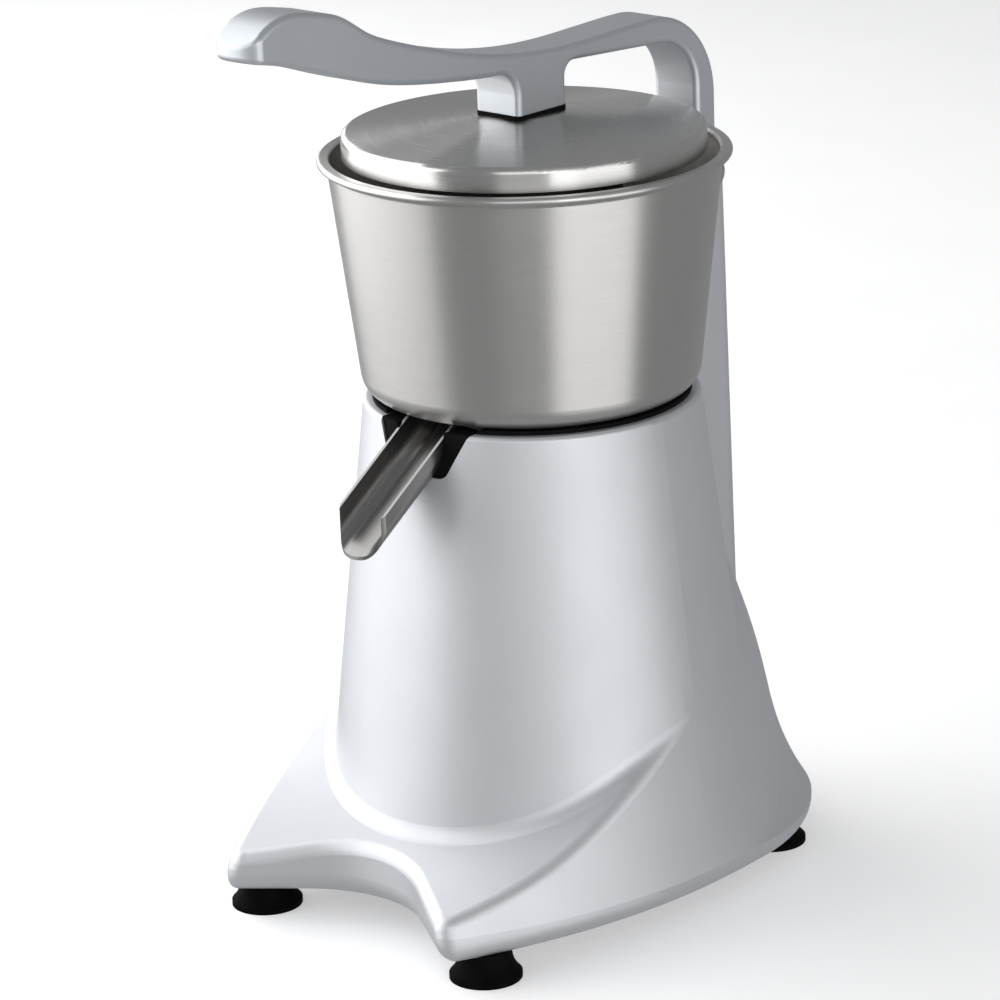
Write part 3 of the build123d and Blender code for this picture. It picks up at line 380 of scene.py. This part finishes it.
def make_materials():
    """The finish of each material slot in the record."""
    return {
        "body_paint": metallic_paint(
            "body_paint", dark=(0.590, 0.602, 0.625), pale=(0.650, 0.662, 0.685), rough=0.50, metal=0.72),
        "lever_metal": metallic_paint(
            "lever_metal", dark=(0.500, 0.522, 0.550), pale=(0.565, 0.587, 0.612), rough=0.40, metal=0.70),
        "bowl_steel": turned_steel(
            "bowl_steel", dark=(0.570, 0.560, 0.545), pale=(0.615, 0.605, 0.590), rough=0.34,
            anisotropy=0.70),
        "lid_steel": turned_steel(
            "lid_steel", dark=(0.595, 0.590, 0.575), pale=(0.640, 0.630, 0.615), rough=0.25,
            anisotropy=0.80),
        # Painted reflection: the spout is steel like the bowl, and its colour is darkened to stand in for the dark
        # surroundings it mirrors
        "spout_steel": drawn_steel(
            "spout_steel", dark=(0.25, 0.245, 0.24), pale=(0.31, 0.305, 0.30), rough=0.30,
            stretch=(1, 0.02, 0.02)),
        "strainer_steel": turned_steel(
            "strainer_steel", dark=(0.52, 0.52, 0.51), pale=(0.62, 0.62, 0.61), rough=0.30, anisotropy=0.5),
        "foot_rubber": rubber(
            "foot_rubber", dark=(0.0015, 0.0015, 0.0015), pale=(0.004, 0.004, 0.004)),
        "seal_rubber": rubber(
            "seal_rubber", dark=(0.004, 0.004, 0.004), pale=(0.007, 0.007, 0.007)),
        "reamer_plastic": moulded_plastic(
            "reamer_plastic", dark=(0.74, 0.74, 0.72), pale=(0.82, 0.82, 0.80), rough=0.28),
        "cup_plastic": moulded_plastic(
            "cup_plastic", dark=(0.060, 0.060, 0.060), pale=(0.085, 0.085, 0.085), rough=0.40),
        "shaft_steel": drawn_steel(
            "shaft_steel", dark=(0.52, 0.52, 0.53), pale=(0.66, 0.66, 0.67), rough=0.22,
            stretch=(0.05, 0.05, 1)),
        "fastener_steel": drawn_steel(
            "fastener_steel", dark=(0.48, 0.48, 0.49), pale=(0.62, 0.62, 0.63), rough=0.30,
            stretch=(0.2, 0.2, 1)),
        "bush_bronze": drawn_steel(
            "bush_bronze", dark=(0.42, 0.27, 0.11), pale=(0.58, 0.40, 0.18), rough=0.32,
            stretch=(1, 0.1, 0.1)),
        "plate_steel": cast_alloy(
            "plate_steel", dark=(0.40, 0.40, 0.42), pale=(0.56, 0.56, 0.58)),
        "panel_metal": metallic_paint(
            "panel_metal", dark=(0.165, 0.170, 0.178), pale=(0.200, 0.205, 0.213), rough=0.45, metal=0.4),
        "core_steel": laminations("core_steel"),
        "winding_copper": wound_copper("winding_copper"),
        "motor_alloy": cast_alloy(
            "motor_alloy", dark=(0.50, 0.51, 0.52), pale=(0.64, 0.65, 0.66)),
        "black_plastic": moulded_plastic(
            "black_plastic", dark=(0.016, 0.016, 0.017), pale=(0.026, 0.026, 0.027), rough=0.45),
        "rocker_plastic": moulded_plastic(
            "rocker_plastic", dark=(0.020, 0.020, 0.021), pale=(0.030, 0.030, 0.031), rough=0.25),
    }


def dress(materials):
    """Every CAD node takes the finish of its slot."""
    for part in frame["record"]["subparts"]:
        for holder in frame["nodes"][part["node"]].material_slots:
            holder.material = materials[part["material_slot"]]


def circle_points(radius, steps, start=0.0, turn=2 * pi):
    return [(radius * cos(start + turn * step / steps), radius * sin(start + turn * step / steps))
            for step in range(steps)]


def bar_faces(half, length):
    """An upright bar with round ends, as one face."""
    reach = length / 2 - half
    top = [(x, y + reach) for x, y in circle_points(half, curve_steps, 0.0, pi)]
    low = [(x, y - reach) for x, y in circle_points(half, curve_steps, pi, pi)]
    return [[*top, (-half, reach), *low, (half, -reach)]]


def ring_faces(outer, inner):
    far = circle_points(outer, curve_steps)
    near = circle_points(inner, curve_steps)
    return [[far[step - 1], far[step], near[step], near[step - 1]] for step in range(curve_steps)]


def cross_faces(arm, half):
    """A cross as one face: three corners to each quarter, turned four times."""
    points = []
    corner = [(arm, -half), (arm, half), (half, half)]
    for quarter in range(4):
        across, along = round(cos(quarter * pi / 2)), round(sin(quarter * pi / 2))
        points += [(x * across - y * along, x * along + y * across) for x, y in corner]
    return [points]


def add_plate(name, faces, thickness, place, body, material):
    """A thin plate on a CAD body, its middle plane and upright set by place."""
    shape = bmesh.new()
    for corners in faces:
        shape.faces.new([shape.verts.new((x, y, -thickness / 2)) for x, y in corners])
    bmesh.ops.remove_doubles(shape, verts=shape.verts[:], dist=weld_distance)
    grown = bmesh.ops.extrude_face_region(shape, geom=shape.faces[:])
    lifted = [item for item in grown["geom"] if isinstance(item, bmesh.types.BMVert)]
    bmesh.ops.translate(shape, verts=lifted, vec=(0, 0, thickness))
    bmesh.ops.recalc_face_normals(shape, faces=shape.faces[:])
    bmesh.ops.transform(shape, matrix=place, verts=shape.verts[:])
    mesh = bpy.data.meshes.new(name)
    shape.to_mesh(mesh)
    shape.free()
    mesh.materials.append(material)
    plate = bpy.data.objects.new(name, mesh)
    bpy.context.scene.collection.objects.link(plate)
    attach(plate, body)


def upright_frame(place, upward, outward):
    """A frame at place with y upward and z outward."""
    across = upward.cross(outward)
    return Matrix.Translation(place) @ Matrix((across, upward, outward)).transposed().to_4x4()


def rocker_frame(side):
    """The middle of the rocker's upper face, side 1, or lower face, side -1."""
    joint = next(item for item in frame["joints"] if item["name"] == "switch_tilt")
    rise = rocker_rise - rocker_valley
    upward = Vector((0, side * rise, rocker_radius)).normalized()
    outward = Vector((0, rocker_radius, -side * rise)).normalized()
    place = Vector((0, rocker_valley + rise * mark_share, side * rocker_radius * mark_share))
    turned = Matrix.Rotation(rocker_tilt, 4, "X") @ upright_frame(place, upward, outward)
    return Matrix.Translation(Vector(joint["pos_m"])) @ turned


def add_rocker_marks():
    """Off above, where the rocker is pressed in at rest, and on below."""
    paint = moulded_plastic("mark_paint", *mark_colours, mark_roughness)
    ring = ring_faces(mark_ring_outer, mark_ring_inner)
    bar = bar_faces(mark_bar_half, mark_bar_length)
    add_plate("rocker_mark_off", ring, mark_thickness, rocker_frame(1), "rocker", paint)
    add_plate("rocker_mark_on", bar, mark_thickness, rocker_frame(-1), "rocker", paint)


def add_screw_recess_shades():
    """A dark cross in each panel screw, painted shade that stands in for its recess, each turned on from the one
    before.
    """
    # Near-black metal as painted shade, where the recess would be dark
    dark = cast_alloy("screw_recess", *painted_recess_shade_colours)
    low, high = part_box("panel_screws")
    inset = Vector((screw_head_radius, 0, screw_head_radius))
    low, high = low + inset, high - inset
    corners = [(x, z) for x in (low.x, high.x) for z in (low.z, high.z)]
    for number, (x, z) in enumerate(corners):
        place = upright_frame(Vector((x, high.y, z)), Vector((0, 0, 1)), Vector((0, 1, 0)))
        place = place @ Matrix.Rotation(recess_turn * number, 4, "Z")
        name = f"screw_recess_{number + 1}"
        cross = cross_faces(recess_arm, recess_half)
        add_plate(name, cross, recess_thickness, place, "body", dark)


def add_floor():
    """A wide pale sheet on which the juicer stands."""
    mesh = bpy.data.meshes.new("floor")
    shape = bmesh.new()
    corners = [(-1, -1), (1, -1), (1, 1), (-1, 1)]
    shape.faces.new([shape.verts.new((x * floor_half, y * floor_half, 0)) for x, y in corners])
    shape.to_mesh(mesh)
    shape.free()
    floor = bpy.data.objects.new("floor", mesh)
    bpy.context.scene.collection.objects.link(floor)
    material, tree, shader = new_material(
        "floor_paper", roughness=floor_roughness, emission_strength=floor_glow)
    shader.inputs["Emission Color"].default_value = glow_colour
    tint(tree, shader, grain(tree, *floor_noise), *floor_colours)
    mesh.materials.append(material)
    floor.visible_glossy = False


add_camera()
add_world()
add_softbox("left_softbox", *left_box)
add_softbox("right_softbox", *right_box)
add_softbox("front_softbox", *front_box)
add_softbox("back_softbox", *back_box)
add_softbox("high_softbox", *high_box)
add_floor()
dress(make_materials())
add_rocker_marks()
add_screw_recess_shades()
